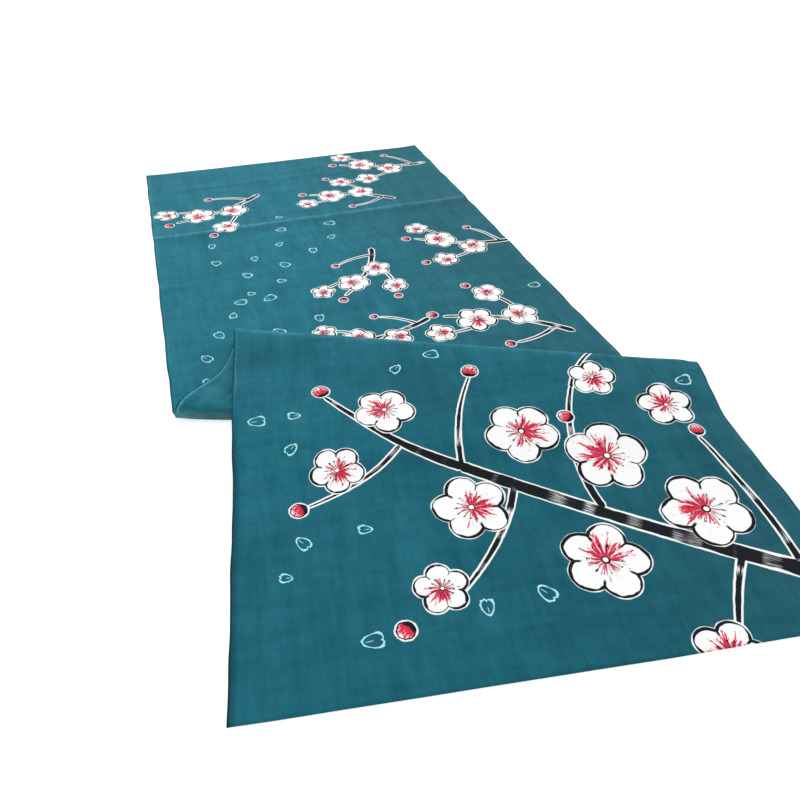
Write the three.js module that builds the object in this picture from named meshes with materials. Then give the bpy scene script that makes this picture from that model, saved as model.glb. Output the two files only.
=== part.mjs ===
// A tenugui: one plain-woven cotton cloth with two selvages and two raw-cut ends, in millimetres, +Z up.
// It lies on a table, folded back over itself at the near crease and forward again at the far crease.
// Seen from above, the two creases split it into the far panel, the middle panel and the near panel.
import * as THREE from "three";

// The cloth as it is cut, and the thickness that stands in for the woven sheet.
const CLOTH_WIDTH = 340;
const CLOTH_LENGTH = 900;
const SHEET_THICKNESS = 1.2;

// Heights of the middle of the sheet where it lies on the table and where it lies on itself.
const TABLE_LEVEL = SHEET_THICKNESS / 2;
const MIDDLE_LEVEL = 2.3;

// The left selvage of the far panel runs towards the viewer along this heading, from +X.
const FAR_PANEL_HEADING = THREE.MathUtils.degToRad(-72);

// Both creases as straight lines seen from above, in the far panel's own lengths:
// across from its left selvage, along from its far end.
const NEAR_CREASE = {
  left: { across: 0, along: 457.3 },
  right: { across: 340, along: 589.4 },
};
const FAR_CREASE = {
  left: { across: 55.7, along: 389.7 },
  right: { across: 370.3, along: 538.4 },
};

// The near panel slips sideways along the far crease, as the cloth skews on its bias:
// how far it slips at each selvage, and the stretch past the crease in which it does so.
const SLIP = { left: -19.6, right: -22.8, from: -55, to: 23 };

// Section across the near crease: how far it reaches past the crease, and how high it stands.
// The bend has a pressed ridge on top and sinks down to the middle panel.
const NEAR_BEND = [
  { reach: 0, height: TABLE_LEVEL },
  { reach: 5.2, height: 0.8 },
  { reach: 8.6, height: 2.0 },
  { reach: 10.2, height: 4.7 },
  { reach: 10.2, height: 7.9 },
  { reach: 8.2, height: 11.0 },
  { reach: 3.6, height: 13.2 },
  { reach: -3, height: 13.9 },
  { reach: -11, height: 12.8 },
  { reach: -22, height: 10.3 },
  { reach: -36, height: 7.3 },
  { reach: -52, height: 4.7 },
  { reach: -72, height: 2.6 },
  { reach: -96, height: MIDDLE_LEVEL },
  { reach: -140, height: MIDDLE_LEVEL },
  { reach: -240, height: MIDDLE_LEVEL },
  { reach: -420, height: MIDDLE_LEVEL },
];

// Length of cloth that the near bend itself takes up, and how much of its height is left at its right end.
const NEAR_BEND_LENGTH = 24;
const NEAR_BEND_RIGHT_SHARE = 0.3;

// The bend stands full at its free left corner. Past the corner, measured along the crease,
// it has gone this share of the way to its flatter right end.
const FREE_CORNER = { from: 6, to: 50, share: 0.5 };

// Height of the near panel at a distance back from the far crease: at its left selvage,
// along a line that lies INNER_SHARE of the way across, and at its right selvage, which droops
// past the end of the near bend.
const NEAR_PANEL_HEIGHTS = [
  { back: 0, left: 16.0, inner: 16.5, right: 17.8 },
  { back: 12, left: 15.4, inner: 15.4, right: 14.0 },
  { back: 25, left: 14.0, inner: 13.8, right: 8.5 },
  { back: 40, left: 12.5, inner: 11.8, right: 3.4 },
  { back: 55, left: 11.4, inner: 10.6, right: 1.8 },
  { back: 75, left: 11.6, inner: 9.0, right: 1.0 },
  { back: 90, left: 11.2, inner: 5.6, right: 0.7 },
  { back: 105, left: 9.4, inner: 2.6, right: TABLE_LEVEL },
  { back: 125, left: 4.6, inner: 0.9, right: TABLE_LEVEL },
  { back: 145, left: 1.4, inner: TABLE_LEVEL, right: TABLE_LEVEL },
  { back: 165, left: 0.7, inner: TABLE_LEVEL, right: TABLE_LEVEL },
  { back: 200, left: TABLE_LEVEL, inner: TABLE_LEVEL, right: TABLE_LEVEL },
  { back: 260, left: TABLE_LEVEL, inner: TABLE_LEVEL, right: TABLE_LEVEL },
  { back: 420, left: TABLE_LEVEL, inner: TABLE_LEVEL, right: TABLE_LEVEL },
];
const INNER_SHARE = 0.82;
const DROOP_POWER = 3;
const LOOP_STATIONS = 8;

// The far loop sags at its right corner: by this share of its height, this far into the cloth.
const LOOP_SAG = { share: 0.16, width: 8 };

// Rows of the mesh: where each stretch of cloth ends along the left and the right selvage,
// measured from the far end, and how many rows it is cut into. Rows are close at the bends.
const COLUMNS = 26;
const STRETCHES = [
  { name: "far panel", left: 458, right: 588, rows: 7 },
  { name: "near bend", left: 490, right: 612, rows: 12 },
  { name: "slope behind it", left: 535, right: 640, rows: 5 },
  { name: "middle panel", left: 560, right: 662, rows: 3 },
  { name: "far loop", left: 600, right: 700, rows: 14 },
  { name: "near panel, falling", left: 775, right: 850, rows: 14 },
  { name: "near panel, flat", left: 900, right: 900, rows: 3 },
];

// Colour of the dyed cloth.
const CLOTH_COLOUR = new THREE.Color(0x286c80);

// A crease as a frame in the plane of the far panel: a point, the way along it and the way past it.
function creaseFrame(crease, pastSign) {
  const start = new THREE.Vector2(crease.left.across, crease.left.along);
  const end = new THREE.Vector2(crease.right.across, crease.right.along);
  const along = end.clone().sub(start);
  const length = along.length();
  along.normalize();
  const past = new THREE.Vector2(-along.y, along.x).multiplyScalar(pastSign);
  return { start, along, past, length };
}

const nearCrease = creaseFrame(NEAR_CREASE, 1);
const farCrease = creaseFrame(FAR_CREASE, -1);

// Where a point of the plane lies, measured along a crease and past it.
function measure(frame, point) {
  const offset = point.clone().sub(frame.start);
  return { along: offset.dot(frame.along), past: offset.dot(frame.past) };
}

// The point of the plane at a distance along a crease and past it.
function pointAt(frame, along, past) {
  return frame.start.clone().addScaledVector(frame.along, along).addScaledVector(frame.past, past);
}

// A smooth section curve that is followed by its own length, so that the cloth keeps its size.
function sectionCurve(points) {
  const curve = new THREE.SplineCurve(points);
  curve.arcLengthDivisions = 3000;
  return curve;
}

function follow(curve, distance) {
  return curve.getPointAt(THREE.MathUtils.clamp(distance / curve.getLength(), 0, 1));
}

// The near bend with its height scaled by a share, and its reach past the crease half as much.
function nearBendCurve(share) {
  const points = NEAR_BEND.map(({ reach, height }) => {
    const rise = Math.max(0, height - MIDDLE_LEVEL);
    const overhang = Math.max(0, reach);
    return new THREE.Vector2(reach - overhang * 0.5 * (1 - share), height - rise * (1 - share));
  });
  return sectionCurve(points);
}

// The far loop is a half circle from the middle panel up to the near panel, which then runs back.
function nearPanelCurve(side) {
  const top = NEAR_PANEL_HEIGHTS[0][side];
  const radius = (top - MIDDLE_LEVEL) / 2;
  const points = [];
  for (let i = 0; i < LOOP_STATIONS; i++) {
    const turn = (Math.PI * i) / LOOP_STATIONS;
    points.push(new THREE.Vector2(radius * Math.sin(turn), MIDDLE_LEVEL + radius * (1 - Math.cos(turn))));
  }
  for (const row of NEAR_PANEL_HEIGHTS) {
    points.push(new THREE.Vector2(-row.back, row[side]));
  }
  return sectionCurve(points);
}

const nearBendLeft = nearBendCurve(1);
const nearBendRight = nearBendCurve(NEAR_BEND_RIGHT_SHARE);
const nearPanelLeft = nearPanelCurve("left");
const nearPanelInner = nearPanelCurve("inner");
const nearPanelRight = nearPanelCurve("right");

// Middle of the sheet for a point of the flat cloth: across from the left selvage, along from the far end.
function layMiddle(across, along) {
  const flat = new THREE.Vector2(across, along);
  let height = TABLE_LEVEL;
  let plan = flat;
  const near = measure(nearCrease, flat);
  if (near.past > 0) {
    const share = THREE.MathUtils.clamp(near.along / nearCrease.length, 0, 1);
    const corner = THREE.MathUtils.smoothstep(near.along, FREE_CORNER.from, FREE_CORNER.to);
    const flatter = FREE_CORNER.share * corner + (1 - FREE_CORNER.share) * share;
    const section = follow(nearBendLeft, near.past).lerp(follow(nearBendRight, near.past), flatter);
    plan = pointAt(nearCrease, near.along, section.x);
    height = section.y;
    const far = measure(farCrease, plan);
    const folded = near.past > NEAR_BEND_LENGTH;
    if (folded && far.past > SLIP.from) {
      const slipShare = THREE.MathUtils.smoothstep(far.past, SLIP.from, SLIP.to);
      const slip = THREE.MathUtils.lerp(SLIP.left, SLIP.right, share) * slipShare;
      let past = far.past;
      if (far.past > 0) {
        const width = across / CLOTH_WIDTH;
        const innerShare = THREE.MathUtils.smoothstep(width, 0, INNER_SHARE);
        const droop = Math.max(0, (width - INNER_SHARE) / (1 - INNER_SHARE)) ** DROOP_POWER;
        const fall = follow(nearPanelLeft, far.past).lerp(follow(nearPanelInner, far.past), innerShare);
        fall.lerp(follow(nearPanelRight, far.past), droop);
        past = fall.x;
        const sag = LOOP_SAG.share * Math.exp(-(((CLOTH_WIDTH - across) / LOOP_SAG.width) ** 2));
        height = fall.y - sag * Math.max(0, fall.y - MIDDLE_LEVEL);
      }
      plan = pointAt(farCrease, far.along + slip, past);
    }
  }
  return new THREE.Vector3(plan.x, -plan.y, height);
}

// The same point moved off the middle of the sheet, square to it.
function lay(across, along, offset) {
  const step = 0.5;
  const acrossWay = layMiddle(across + step, along).sub(layMiddle(across - step, along));
  const alongWay = layMiddle(across, along - step).sub(layMiddle(across, along + step));
  const normal = acrossWay.cross(alongWay).normalize();
  return layMiddle(across, along).addScaledVector(normal, offset);
}

// Where each row of the mesh lies, as lengths along the two selvages.
function rowStations() {
  const stations = [{ left: 0, right: 0 }];
  let last = stations[0];
  for (const stretch of STRETCHES) {
    for (let i = 1; i <= stretch.rows; i++) {
      const share = i / stretch.rows;
      stations.push({
        left: THREE.MathUtils.lerp(last.left, stretch.left, share),
        right: THREE.MathUtils.lerp(last.right, stretch.right, share),
      });
    }
    last = stretch;
  }
  return stations;
}

// The cloth is a flat box, one sheet thick, whose every vertex is carried to where the folded sheet lies.
function foldedCloth() {
  const stations = rowStations();
  const rows = stations.length - 1;
  const geometry = new THREE.BoxGeometry(CLOTH_WIDTH, rows, SHEET_THICKNESS, COLUMNS, rows, 1);
  geometry.deleteAttribute("normal");
  geometry.deleteAttribute("uv");
  const position = geometry.getAttribute("position");
  for (let i = 0; i < position.count; i++) {
    const across = position.getX(i) + CLOTH_WIDTH / 2;
    const station = stations[Math.round(rows / 2 - position.getY(i))];
    const along = THREE.MathUtils.lerp(station.left, station.right, across / CLOTH_WIDTH);
    const placed = lay(across, along, position.getZ(i));
    position.setXYZ(i, placed.x, placed.y, placed.z);
  }
  geometry.rotateZ(Math.PI / 2 + FAR_PANEL_HEADING);
  return geometry;
}

// The part's origin is the middle of its footprint, on the table.
function standOnOrigin(geometry) {
  geometry.computeBoundingBox();
  const box = geometry.boundingBox;
  geometry.translate(-(box.min.x + box.max.x) / 2, -(box.min.y + box.max.y) / 2, -box.min.z);
  return geometry;
}

const clothMaterial = new THREE.MeshStandardMaterial({
  name: "dyed_cotton",
  color: CLOTH_COLOUR,
  roughness: 0.92,
  metalness: 0,
  side: THREE.DoubleSide,
});

const cloth = new THREE.Mesh(standOnOrigin(foldedCloth()), clothMaterial);
cloth.name = "cloth";

const group = new THREE.Group();
group.name = "tenugui";
group.add(cloth);

export default group;
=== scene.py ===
# %% [markdown]
# # A printed tenugui, folded on a table
#
# A tenugui is one length of plain-woven cotton, about 34 cm from selvage to selvage and 90 cm long.
# Its long edges are woven selvages, its short ends are cut raw, and its pattern is dyed right
# through the cloth. This lesson lays one cloth on a table in two folds, dyes it, prints it with
# plum branches and lights it.
#
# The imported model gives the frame: one rigid body with one node, `cloth`. The thin sheet made here
# takes that node's place.

# %% Load the frame
import math

import bpy
import numpy as np
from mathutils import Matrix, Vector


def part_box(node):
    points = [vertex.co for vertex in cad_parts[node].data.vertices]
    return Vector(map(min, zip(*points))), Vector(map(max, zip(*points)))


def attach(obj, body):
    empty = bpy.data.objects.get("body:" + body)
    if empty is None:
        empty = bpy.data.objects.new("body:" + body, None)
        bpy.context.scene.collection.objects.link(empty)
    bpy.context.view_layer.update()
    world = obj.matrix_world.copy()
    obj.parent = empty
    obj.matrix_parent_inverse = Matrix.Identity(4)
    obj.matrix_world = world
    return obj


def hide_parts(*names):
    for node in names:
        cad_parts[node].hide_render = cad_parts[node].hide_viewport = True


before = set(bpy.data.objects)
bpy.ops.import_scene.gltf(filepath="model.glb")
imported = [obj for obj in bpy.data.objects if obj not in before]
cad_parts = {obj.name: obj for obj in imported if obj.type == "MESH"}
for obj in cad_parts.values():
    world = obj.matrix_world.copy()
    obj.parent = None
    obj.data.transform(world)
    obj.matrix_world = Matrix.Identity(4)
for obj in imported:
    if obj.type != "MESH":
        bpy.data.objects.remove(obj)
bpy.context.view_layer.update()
cloth_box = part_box("cloth")
MM = 0.001
print("cloth box in mm:", [[round(v / MM, 1) for v in corner] for corner in cloth_box])

# %% [markdown]
# ## The cloth and how it is folded
#
# Cloth bends easily but hardly stretches, so a folded cloth is best described on the flat cloth:
# where each crease crosses it, and what section the cloth follows there. Simulating two folds from
# flat would take long and end somewhere else every time, while the photograph fixes both creases.
#
# All sizes here are millimetres. `across` runs from the left selvage, `along` from the far end.
# The two creases are straight lines seen from above, in the far panel's own lengths.

# %% Sizes of the cloth and of its folds
CLOTH_WIDTH = 340.0
CLOTH_LENGTH = 900.0
CLOTH_THICKNESS = 0.42
SELVAGE_THICKNESS = 0.75
# Heights of a panel that lies on the table, and of the middle panel on top of the far one.
TABLE_LEVEL = 0.5
MIDDLE_LEVEL = 2.0
FAR_PANEL_HEADING = math.radians(-72.0)

# Both ends of each crease, and the side of it on which the cloth would go on if it lay flat.
NEAR_CREASE = {"left": (0.0, 457.3), "right": (340.0, 589.4), "past": 1.0}
FAR_CREASE = {"left": (55.7, 389.7), "right": (370.3, 538.4), "past": -1.0}
# How far the cloth slips along the far crease at either selvage, growing over these lengths.
SLIP = {"left": -19.6, "right": -22.8, "from": -55.0, "to": 23.0}

# Section across the near crease: reach past the crease, height.
NEAR_BEND = [
    (0.0, TABLE_LEVEL), (5.2, 0.6), (8.6, 1.8), (10.2, 4.6), (10.2, 7.8), (8.2, 11.0), (3.6, 13.2),
    (-3.0, 13.9), (-11.0, 12.8), (-22.0, 10.2), (-36.0, 7.2), (-52.0, 4.6), (-72.0, 2.4),
    (-96.0, MIDDLE_LEVEL), (-140.0, MIDDLE_LEVEL), (-240.0, MIDDLE_LEVEL), (-420.0, MIDDLE_LEVEL),
]
# The cloth has turned over after this length. At its right end the bend is this share as high.
NEAR_BEND_LENGTH = 24.0
NEAR_BEND_RIGHT_SHARE = 0.3
# The bend stands full at its free left corner. By the end of the corner, in millimetres along
# the crease, it has this share of the way to its flatter right end.
CORNER_FROM = 6.0
CORNER_TO = 50.0
CORNER_SHARE = 0.5

# Height of the near panel by distance back from the far crease: at the left selvage, at
# INNER_SHARE of the width, and at the right selvage, which droops.
PANEL_COLUMNS = ("back", "left", "inner", "right")
NEAR_PANEL = [
    (0.0, 16.0, 16.5, 17.8),
    (12.0, 15.4, 15.4, 14.0),
    (25.0, 14.0, 13.8, 8.5),
    (40.0, 12.5, 11.8, 3.4),
    (55.0, 11.4, 10.6, 1.8),
    (75.0, 11.6, 9.0, 1.0),
    (90.0, 11.2, 5.6, 0.7),
    (105.0, 9.4, 2.6, TABLE_LEVEL),
    (125.0, 4.6, 0.9, TABLE_LEVEL),
    (145.0, 1.4, TABLE_LEVEL, TABLE_LEVEL),
    (165.0, 0.7, TABLE_LEVEL, TABLE_LEVEL),
    (200.0, TABLE_LEVEL, TABLE_LEVEL, TABLE_LEVEL),
    (260.0, TABLE_LEVEL, TABLE_LEVEL, TABLE_LEVEL),
    (420.0, TABLE_LEVEL, TABLE_LEVEL, TABLE_LEVEL),
]
INNER_SHARE = 0.82
DROOP_POWER = 3
LOOP_STATIONS = 8
# The loop sags at its right corner: by this share of its height, this far into the cloth.
CORNER_SAG = 0.16
CORNER_WIDTH = 8.0


# %% Smooth steps, bells and tables
def smooth_step(value, low, high):
    """3t^2 - 2t^3 from 0 at low to 1 at high; it falls instead where high is the smaller one."""
    t = np.clip((value - low) / (high - low), 0.0, 1.0)
    return t * t * (3.0 - 2.0 * t)


def shown_between(value, grow, full, fade, none):
    """0 below grow, 1 from full to fade and 0 above none, with smooth steps between them."""
    return smooth_step(value, grow, full) * (1.0 - smooth_step(value, fade, none))


def bell(distance, half):
    """1 at distance 0, falling as exp(-(distance / half)^2)."""
    return np.exp(-((distance / half) ** 2))


def named_rows(names, table):
    """Each row of a table as a dictionary that gives its numbers their columns' names."""
    return [dict(zip(names.split(), row)) for row in table]


# %% Creases and sections
def crease_frame(crease):
    """A start point, the unit way along the crease, the unit way past it, and its length."""
    start = np.array(crease["left"])
    way = np.array(crease["right"]) - start
    length = np.linalg.norm(way)
    way = way / length
    past = crease["past"] * np.array([-way[1], way[0]])
    return {"start": start, "along": way, "past": past, "length": length}


def crease_place(crease, points):
    """Length along a crease and length past it, for points seen from above."""
    offset = points - crease["start"]
    return offset @ crease["along"], offset @ crease["past"]


def section_curve(points, steps=120):
    """A Catmull-Rom curve through points, sampled, with the length travelled at each sample.

    Between two points it is the cubic that leaves each with half the step between its
    neighbours as its tangent.
    """
    p = np.array(points, dtype=float)
    p = np.vstack([p[:1], p, p[-1:]])
    before, start, end, after = p[:-3], p[1:-2], p[2:-1], p[3:]
    leave = 0.5 * (end - before)
    arrive = 0.5 * (after - start)
    t = np.linspace(0.0, 1.0, steps, endpoint=False)[None, :, None]
    cubic = (2 * start - 2 * end + leave + arrive)[:, None] * t**3
    square = (3 * end - 3 * start - 2 * leave - arrive)[:, None] * t**2
    samples = cubic + square + leave[:, None] * t + start[:, None]
    samples = np.vstack([samples.reshape(-1, 2), p[-1:]])
    travelled = np.r_[0.0, np.cumsum(np.linalg.norm(np.diff(samples, axis=0), axis=1))]
    return travelled, samples


def follow(curve, distance):
    """The point of a section curve at a length of cloth from its start, as reach and height."""
    travelled, samples = curve
    reach = np.interp(distance, travelled, samples[:, 0])
    height = np.interp(distance, travelled, samples[:, 1])
    return np.stack([reach, height], axis=-1)


def near_bend_curve(share):
    """The near bend with its height scaled by share, and its reach half as much."""
    points = []
    for reach, height in NEAR_BEND:
        reach = reach * 0.5 * (1.0 + share) if reach > 0.0 else reach
        points.append((reach, height - max(0.0, height - MIDDLE_LEVEL) * (1.0 - share)))
    return section_curve(points)


def near_panel_curve(column):
    """A half circle from the middle panel up to the near panel, then the column of its heights."""
    place = PANEL_COLUMNS.index(column)
    radius = 0.5 * (NEAR_PANEL[0][place] - MIDDLE_LEVEL)
    turns = [math.pi * i / LOOP_STATIONS for i in range(LOOP_STATIONS)]
    loop = [(radius * math.sin(t), MIDDLE_LEVEL + radius * (1.0 - math.cos(t))) for t in turns]
    return section_curve(loop + [(-row[0], row[place]) for row in NEAR_PANEL])


near_crease = crease_frame(NEAR_CREASE)
far_crease = crease_frame(FAR_CREASE)
near_bend = {"left": near_bend_curve(1.0), "right": near_bend_curve(NEAR_BEND_RIGHT_SHARE)}
near_panel = {column: near_panel_curve(column) for column in PANEL_COLUMNS[1:]}
print("length of cloth in the near bend's section:", round(near_bend["left"][0][-1], 1))


# %% Carry the flat cloth to where it lies
def turn_over(across, along):
    """Plan place and height after the near bend, the distance past it and the share along it.

    Before the near crease a point stays where it is. Past it, the distance past the crease is
    followed along the near bend's section, which grows flatter along the crease.
    """
    point = np.stack([across, along], axis=-1)
    near_along, near_past = crease_place(near_crease, point)
    share = np.clip(near_along / near_crease["length"], 0.0, 1.0)
    flatter = CORNER_SHARE * smooth_step(near_along, CORNER_FROM, CORNER_TO)
    flatter = (flatter + (1.0 - CORNER_SHARE) * share)[..., None]
    bent = follow(near_bend["left"], near_past)
    bent = bent + (follow(near_bend["right"], near_past) - bent) * flatter
    over = near_crease["start"] + near_along[..., None] * near_crease["along"]
    over = over + bent[..., :1] * near_crease["past"]
    turned = near_past > 0.0
    plan = np.where(turned[..., None], over, point)
    return plan, np.where(turned, bent[..., 1], TABLE_LEVEL), near_past, share


def past_far_crease(across, along):
    """Length of cloth past the far crease; below 0 where the cloth has not come to it."""
    plan, _, near_past, _ = turn_over(across, along)
    _, far_past = crease_place(far_crease, plan)
    return np.where(near_past > NEAR_BEND_LENGTH, far_past, -CLOTH_LENGTH)


def lay_sheet(across, along):
    """Middle of the folded sheet for points of the flat cloth, in the far panel's own plane.

    After the near bend, where a point comes past the far crease, the distance past that crease
    is followed along the near panel's section. Near it the cloth also slips along the crease.
    """
    plan, height, near_past, share = turn_over(across, along)
    far_along, far_past = crease_place(far_crease, plan)
    folded = (near_past > NEAR_BEND_LENGTH) & (far_past > SLIP["from"])
    slip = SLIP["left"] + (SLIP["right"] - SLIP["left"]) * share
    slip = slip * smooth_step(far_past, SLIP["from"], SLIP["to"])
    width = across / CLOTH_WIDTH
    inner = smooth_step(width, 0.0, INNER_SHARE)[..., None]
    droop = np.clip((width - INNER_SHARE) / (1.0 - INNER_SHARE), 0.0, 1.0)[..., None] ** DROOP_POWER
    fall = follow(near_panel["left"], far_past)
    fall = fall + (follow(near_panel["inner"], far_past) - fall) * inner
    fall = fall + (follow(near_panel["right"], far_past) - fall) * droop
    sag = CORNER_SAG * bell(CLOTH_WIDTH - across, CORNER_WIDTH)
    fall[..., 1] -= sag * np.maximum(fall[..., 1] - MIDDLE_LEVEL, 0.0)
    returned = folded & (far_past > 0.0)
    past = np.where(returned, fall[..., 0], far_past)
    height = np.where(returned, fall[..., 1], height)
    under = far_crease["start"] + (far_along + slip)[..., None] * far_crease["along"]
    under = under + past[..., None] * far_crease["past"]
    plan = np.where(folded[..., None], under, plan)
    return plan, height


# %% [markdown]
# ## Creases and ripples
#
# A tenugui is sold pressed into a small packet, so sharp creases cross it square to the selvages.
# They are low ridges, each with its own height and width, and some fade out across the cloth.
# The cloth also lies in very shallow waves, and its selvages, woven tighter than the ground,
# ripple a little. Each is a height added to the sheet, never a dent below the table.

# %% Low relief of the sheet
# Pressed creases: where each crosses the left and right selvage, ridge height, length of its far
# and near flanks, how pale its painted highlight line and how dark the painted shade on its near
# side, and from and to where it shows, as shares of the width. The sharpest one has two rows,
# because its highlight is palest on the left. The highlight and the shade are as wide as the near
# flank times the factors below, and a crease's ends fade out over CREASE_FADE of the width.
PRESSED_CREASES = named_rows("left right height far near pale dark from to", [
    (175.5, 174.9, 1.5, 10.0, 5.2, 0.60, 0.17, -0.1, 0.35),
    (175.5, 174.9, 1.5, 10.0, 5.2, 0.42, 0.17, 0.35, 1.1),
    (277.0, 313.0, 0.4, 5.0, 3.0, 0.18, 0.06, -0.1, 0.07),
    (243.0, 372.0, 0.4, 5.0, 3.0, 0.12, 0.06, 0.52, 0.62),
    (741.0, 743.0, 0.5, 4.0, 4.0, 0.00, 0.14, 0.20, 0.76),
    (56.0, 54.0, 0.7, 6.0, 4.0, 0.16, 0.08, 0.10, 0.90),
    (696.0, 696.0, 0.3, 2.0, 1.8, 0.26, 0.06, 0.955, 1.0),
    (701.0, 701.5, 0.3, 2.0, 1.8, 0.22, 0.06, 0.94, 0.99),
])
CREASE_HIGHLIGHT = 0.5
CREASE_SHADE = {"centre": 1.6, "half": 1.8}
CREASE_FADE = 0.02

# Shallow waves: wavelengths across and along, how high, and where the first crest lies.
WAVES = named_rows("across along height phase", [
    (210.0, 330.0, 0.22, 0.4),
    (-120.0, 170.0, 0.16, 2.1),
    (75.0, 130.0, 0.10, 4.4),
    (58.0, -64.0, 0.06, 1.3),
    (-31.0, 47.0, 0.035, 5.2),
])

# Ripples of the selvages: wavelength along, lift of the edge, sideways run of the edge, phase.
SELVAGE_RIPPLES = named_rows("along lift run phase", [
    (47.0, 0.35, 0.14, 0.9),
    (29.0, 0.22, 0.09, 3.7),
    (83.0, 0.25, 0.22, 5.0),
])
RIPPLE_DEPTH = 14.0
RIGHT_PHASE = 4.37
RUN_PHASE = 1.1
EDGE_LIFT = 0.25
# The tight selvages draw the cloth sideways: at which edge, by how much, how deep into the
# cloth, and along which stretch, growing over the first two lengths, fading over the last two.
DRAWS = named_rows("edge by depth grow full fade none", [
    (0.0, 1.2, 60.0, -60.0, -30.0, 455.0, 520.0),
    (0.0, 2.6, 14.0, 457.5, 465.0, 465.5, 478.0),
    (CLOTH_WIDTH, -0.9, 60.0, -60.0, -30.0, 560.0, 640.0),
    (0.0, -0.6, 60.0, 620.0, 660.0, 1000.0, 1100.0),
    (CLOTH_WIDTH, -1.4, 60.0, 702.0, 716.0, 1000.0, 1100.0),
])


# %% Relief worked out over the cloth
def crease_distance(crease, across, along):
    """Distance past a pressed crease, and how much of the crease shows there, from 0 to 1."""
    share = across / CLOTH_WIDTH
    line = crease["left"] + (crease["right"] - crease["left"]) * share
    ends = [crease[end] + step for end in ("from", "to") for step in (-CREASE_FADE, CREASE_FADE)]
    return along - line, shown_between(share, *ends)


def pressed_relief(across, along):
    """Sum of sharp ridges, height * exp(-|d| / flank), with a long far and a short near flank."""
    relief = 0.0
    for crease in PRESSED_CREASES:
        past, shown = crease_distance(crease, across, along)
        flank = np.where(past < 0.0, crease["far"], crease["near"])
        relief += shown * crease["height"] * np.exp(-np.abs(past) / flank)
    return relief


def wave_relief(across, along):
    """Sum of raised sines, height * (1 + sin(2 pi (across / a + along / b) + phase)) / 2."""
    relief = 0.0
    for wave in WAVES:
        turn = 2.0 * math.pi * (across / wave["across"] + along / wave["along"]) + wave["phase"]
        relief += wave["height"] * 0.5 * (1.0 + np.sin(turn))
    return relief


def selvage_ripple(across, along):
    """Lift and sideways run of the cloth near a selvage, fading inwards as exp(-(d / depth)^2)."""
    near_edge = bell(np.minimum(across, CLOTH_WIDTH - across), RIPPLE_DEPTH)
    side_phase = np.where(across < CLOTH_WIDTH / 2.0, 0.0, RIGHT_PHASE)
    lift, run = EDGE_LIFT, 0.0
    for ripple in SELVAGE_RIPPLES:
        turn = 2.0 * math.pi * along / ripple["along"] + ripple["phase"] + side_phase
        lift += ripple["lift"] * 0.5 * (1.0 + np.sin(turn))
        run += ripple["run"] * np.sin(turn + RUN_PHASE)
    return lift * near_edge, run * near_edge


def drawn_in(across, along):
    """Sideways draw of the selvages, fading into the cloth as exp(-(d / depth)^2)."""
    run = 0.0
    for draw in DRAWS:
        shown = shown_between(along, draw["grow"], draw["full"], draw["fade"], draw["none"])
        run += draw["by"] * shown * bell(across - draw["edge"], draw["depth"])
    return run


def lay_cloth(across, along):
    """Middle of the folded sheet with its relief: (across, -along, height) in millimetres."""
    lift, run = selvage_ripple(across, along)
    run = run + drawn_in(across, along)
    plan, height = lay_sheet(across, along)
    height = height + lift + pressed_relief(across, along) + wave_relief(across, along)
    return np.stack([plan[..., 0] + run, -plan[..., 1], height], axis=-1)


# %% [markdown]
# ## The sheet's mesh
#
# The sheet is a grid over the flat cloth, once for its face and once for its back, joined by a
# strip round the rim. Its rows lie close together at the bends and follow the creases, so that
# each bend is round. A grid made with arrays keeps the flat position of every vertex, and the
# weave, the dye and the print are all drawn in those flat lengths.

# %% Rows, columns and the placed grid
# Columns stand 0.7 to 1.4 mm apart at a selvage and 2.8 mm apart elsewhere.
SELVAGE_COLUMNS = [0.0, 0.7, 1.6]
INNER_FROM = 3.0
INNER_COLUMNS = 121
# Where each stretch ends along the left and right selvage, and how many rows it has.
STRETCHES = [
    (166.0, 162.0, 62), (182.0, 178.0, 20), (455.0, 587.0, 104), (490.0, 615.0, 30),
    (563.0, 664.0, 22), (598.0, 698.0, 28), (900.0, 900.0, 106),
]
NORMAL_STEP = 0.6
# The tight weave of a selvage makes the cloth thicker about this far in.
SELVAGE_TIGHT = 1.3


def row_stations():
    """Lengths along the left and the right selvage at which each row starts and ends."""
    stations = [np.zeros((1, 2))]
    for left, right, count in STRETCHES:
        start = stations[-1][-1]
        steps = np.arange(1, count + 1)[:, None] / count
        stations.append(start + (np.array([left, right]) - start) * steps)
    return np.concatenate(stations).T


def column_places():
    """Places of the columns across the cloth, mirrored about its middle."""
    edge = np.array(SELVAGE_COLUMNS)
    inner = np.linspace(INNER_FROM, CLOTH_WIDTH - INNER_FROM, INNER_COLUMNS)
    return np.concatenate([edge, inner, CLOTH_WIDTH - edge[::-1]])


def sheet_normals(across, along):
    """Unit normal of the sheet on its face side: the cross product of short steps each way."""
    rightwards = lay_cloth(across + NORMAL_STEP, along) - lay_cloth(across - NORMAL_STEP, along)
    farwards = lay_cloth(across, along - NORMAL_STEP) - lay_cloth(across, along + NORMAL_STEP)
    normal = np.cross(rightwards, farwards)
    return normal / np.linalg.norm(normal, axis=-1, keepdims=True)


lefts, rights = row_stations()
flat_across = np.tile(column_places(), (len(lefts), 1))
flat_along = lefts[:, None] + (rights - lefts)[:, None] * flat_across / CLOTH_WIDTH
middle = lay_cloth(flat_across, flat_along)
normal = sheet_normals(flat_across, flat_along)
selvage_share = bell(np.minimum(flat_across, CLOTH_WIDTH - flat_across), SELVAGE_TIGHT)
thickness = CLOTH_THICKNESS + (SELVAGE_THICKNESS - CLOTH_THICKNESS) * selvage_share
print("grid:", flat_across.shape, "heights", round(float(middle[..., 2].min()), 2),
      "to", round(float(middle[..., 2].max()), 2), "mm")

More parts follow.
